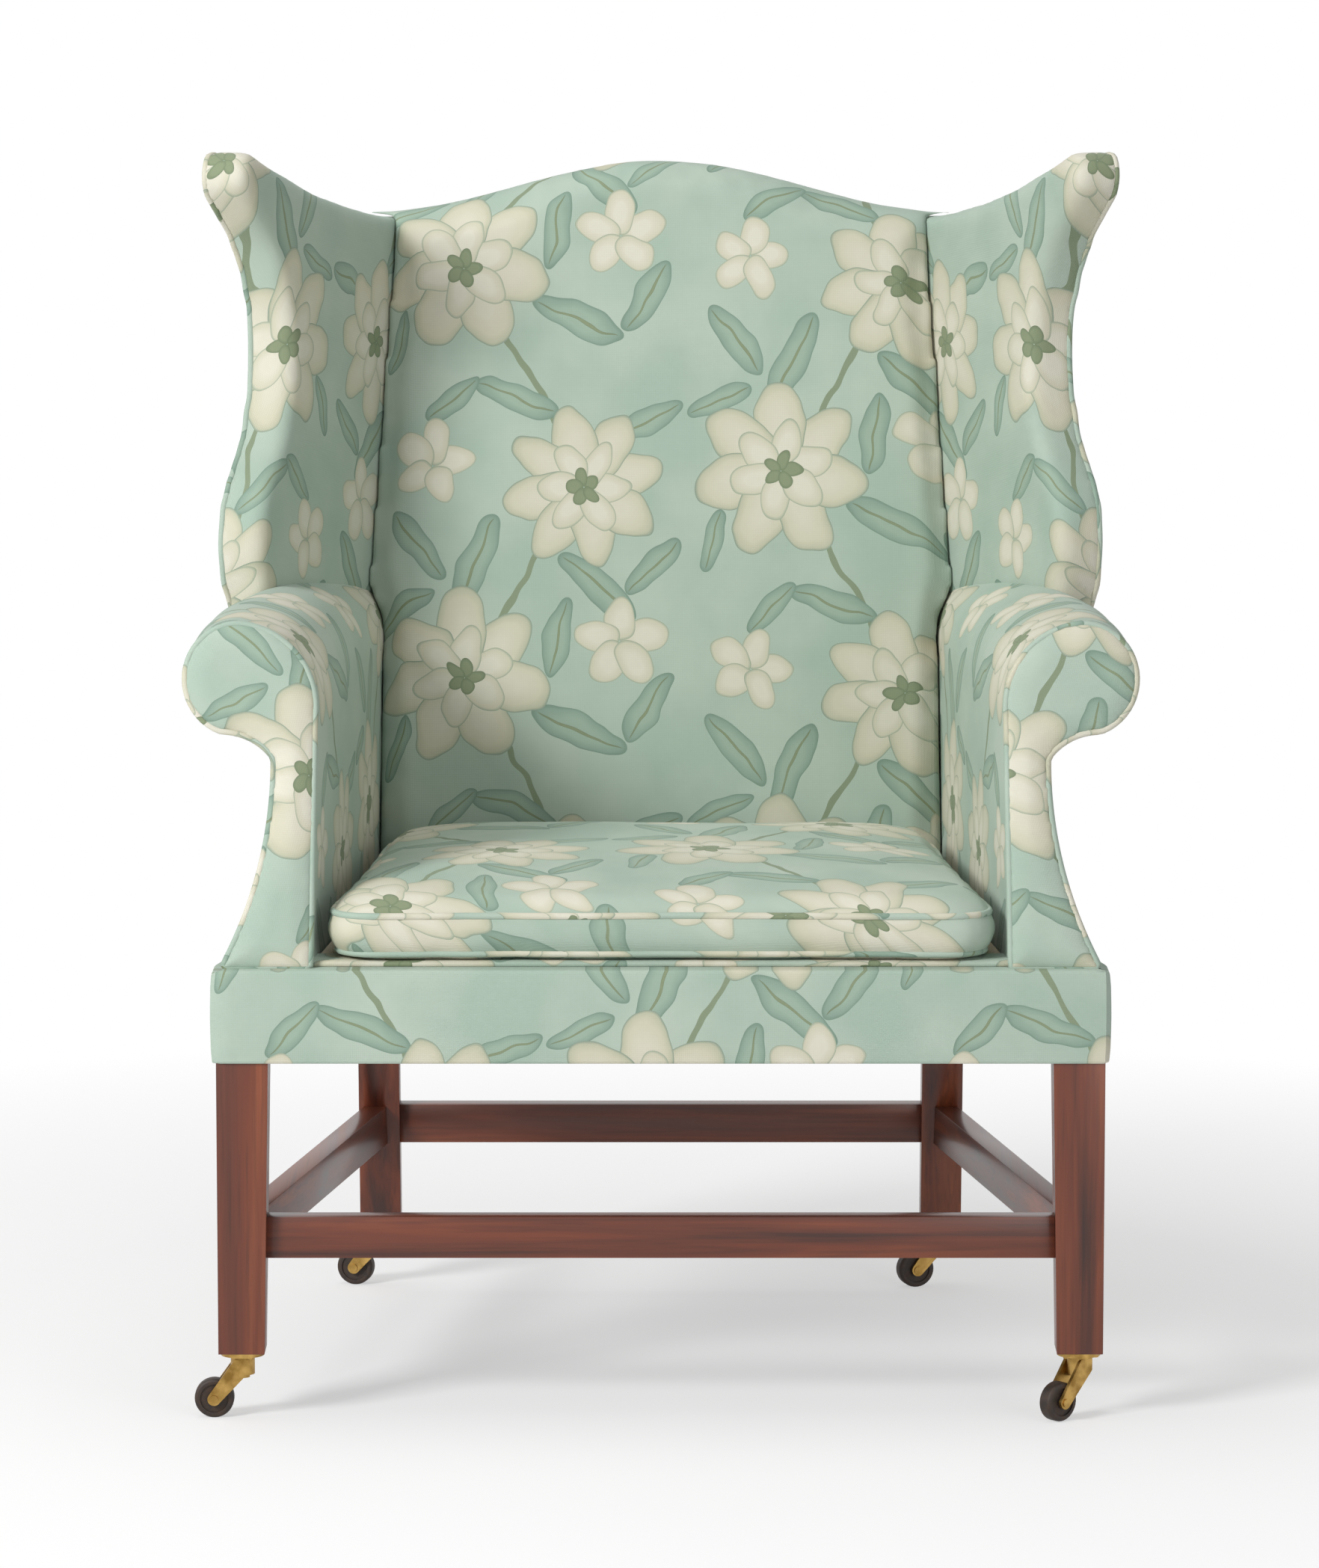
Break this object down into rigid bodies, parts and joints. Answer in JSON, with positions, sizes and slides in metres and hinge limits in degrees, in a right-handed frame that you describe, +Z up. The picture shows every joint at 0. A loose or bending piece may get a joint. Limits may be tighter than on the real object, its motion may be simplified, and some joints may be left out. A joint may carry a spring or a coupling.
{
  "type": "wing easy chair",
  "caption": "Upholstered wing easy chair with a serpentine crest, flared ears, rolled arms, loose seat cushion, straight square legs with box stretchers and brass casters.",
  "frame": {"origin": "on the floor, in the middle of the chair's footprint box", "axes": "+Z up, the chair faces -Y, +X to the right as seen from the front"},
  "size_m": [0.8658, 0.7241, 1.1379],
  "materials": {
    "mahogany": "dark red-brown, waxed",
    "frame_beech": "plain sawn, unfinished",
    "brass": "aged, lightly polished",
    "wheel_leather": "dark stacked leather",
    "cover_fabric": "woven, pale aqua with cream and sage leaves and flowers",
    "webbing": "woven jute",
    "linen": "plain woven linen"
  },
  "bodies": {
    "chair": {"arm_facing_left": "cover_fabric", "arm_facing_right": "cover_fabric", "arm_pad_left": "cover_fabric", "arm_pad_right": "cover_fabric", "arm_rail_left": "frame_beech", "arm_rail_right": "frame_beech", "arm_stump_left": "frame_beech", "arm_stump_right": "frame_beech", "back_pad": "cover_fabric", "back_stay_rail": "frame_beech", "back_webbing": "webbing", "caster_plates": "brass", "caster_screws": "brass", "crest_rail": "frame_beech", "dust_cover": "linen", "front_leg_left": "mahogany", "front_leg_right": "mahogany", "front_rail_cover": "cover_fabric", "front_seat_rail": "frame_beech", "front_stretcher": "mahogany", "joint_pegs": "mahogany", "outside_arm_cover_left": "cover_fabric", "outside_arm_cover_right": "cover_fabric", "outside_back_cover": "cover_fabric", "outside_wing_cover_left": "cover_fabric", "outside_wing_cover_right": "cover_fabric", "rear_post_left": "mahogany", "rear_post_right": "mahogany", "rear_rail_cover": "cover_fabric", "rear_seat_rail": "frame_beech", "rear_stretcher": "mahogany", "seat_corner_blocks": "frame_beech", "seat_deck": "linen", "seat_webbing": "webbing", "side_rail_cover_left": "cover_fabric", "side_rail_cover_right": "cover_fabric", "side_seat_rail_left": "frame_beech", "side_seat_rail_right": "frame_beech", "side_stretcher_left": "mahogany", "side_stretcher_right": "mahogany", "wing_pad_left": "cover_fabric", "wing_pad_right": "cover_fabric", "wing_post_left": "frame_beech", "wing_post_right": "frame_beech", "wing_rail_left": "frame_beech", "wing_rail_right": "frame_beech"},
    "caster_front_left": {"caster_horn_front_left": "brass", "caster_axle_front_left": "brass"},
    "wheel_front_left": {"caster_wheel_front_left": "wheel_leather"},
    "caster_front_right": {"caster_horn_front_right": "brass", "caster_axle_front_right": "brass"},
    "wheel_front_right": {"caster_wheel_front_right": "wheel_leather"},
    "caster_rear_left": {"caster_horn_rear_left": "brass", "caster_axle_rear_left": "brass"},
    "wheel_rear_left": {"caster_wheel_rear_left": "wheel_leather"},
    "caster_rear_right": {"caster_horn_rear_right": "brass", "caster_axle_rear_right": "brass"},
    "wheel_rear_right": {"caster_wheel_rear_right": "wheel_leather"},
    "cushion": {"seat_cushion": "cover_fabric"}
  },
  "joints": [
    {"name": "swivel_front_left", "type": "hinge", "parent": "chair", "child": "caster_front_left", "pos_m": [-0.3815, -0.32907, 0.05], "axis": [0, 0, 1], "continuous": true},
    {"name": "roll_front_left", "type": "hinge", "parent": "caster_front_left", "child": "wheel_front_left", "pos_m": [-0.4075, -0.32907, 0.018], "axis": [0, 1, 0], "continuous": true},
    {"name": "swivel_front_right", "type": "hinge", "parent": "chair", "child": "caster_front_right", "pos_m": [0.3815, -0.32907, 0.05], "axis": [0, 0, 1], "continuous": true},
    {"name": "roll_front_right", "type": "hinge", "parent": "caster_front_right", "child": "wheel_front_right", "pos_m": [0.36188, -0.34613, 0.018], "axis": [-0.6561, 0.7547, 0], "continuous": true},
    {"name": "swivel_rear_left", "type": "hinge", "parent": "chair", "child": "caster_rear_left", "pos_m": [-0.278, 0.25643, 0.05], "axis": [0, 0, 1], "continuous": true},
    {"name": "roll_rear_left", "type": "hinge", "parent": "caster_rear_left", "child": "wheel_rear_left", "pos_m": [-0.30343, 0.26184, 0.018], "axis": [0.2079, 0.9781, 0], "continuous": true},
    {"name": "swivel_rear_right", "type": "hinge", "parent": "chair", "child": "caster_rear_right", "pos_m": [0.278, 0.25643, 0.05], "axis": [0, 0, 1], "continuous": true},
    {"name": "roll_rear_right", "type": "hinge", "parent": "caster_rear_right", "child": "wheel_rear_right", "pos_m": [0.25301, 0.24927, 0.018], "axis": [-0.2756, 0.9613, 0], "continuous": true},
    {"name": "cushion_lift", "type": "slide", "parent": "chair", "child": "cushion", "axis": [0, 0, 1], "range_m": [0, 0.25]}
  ]
}
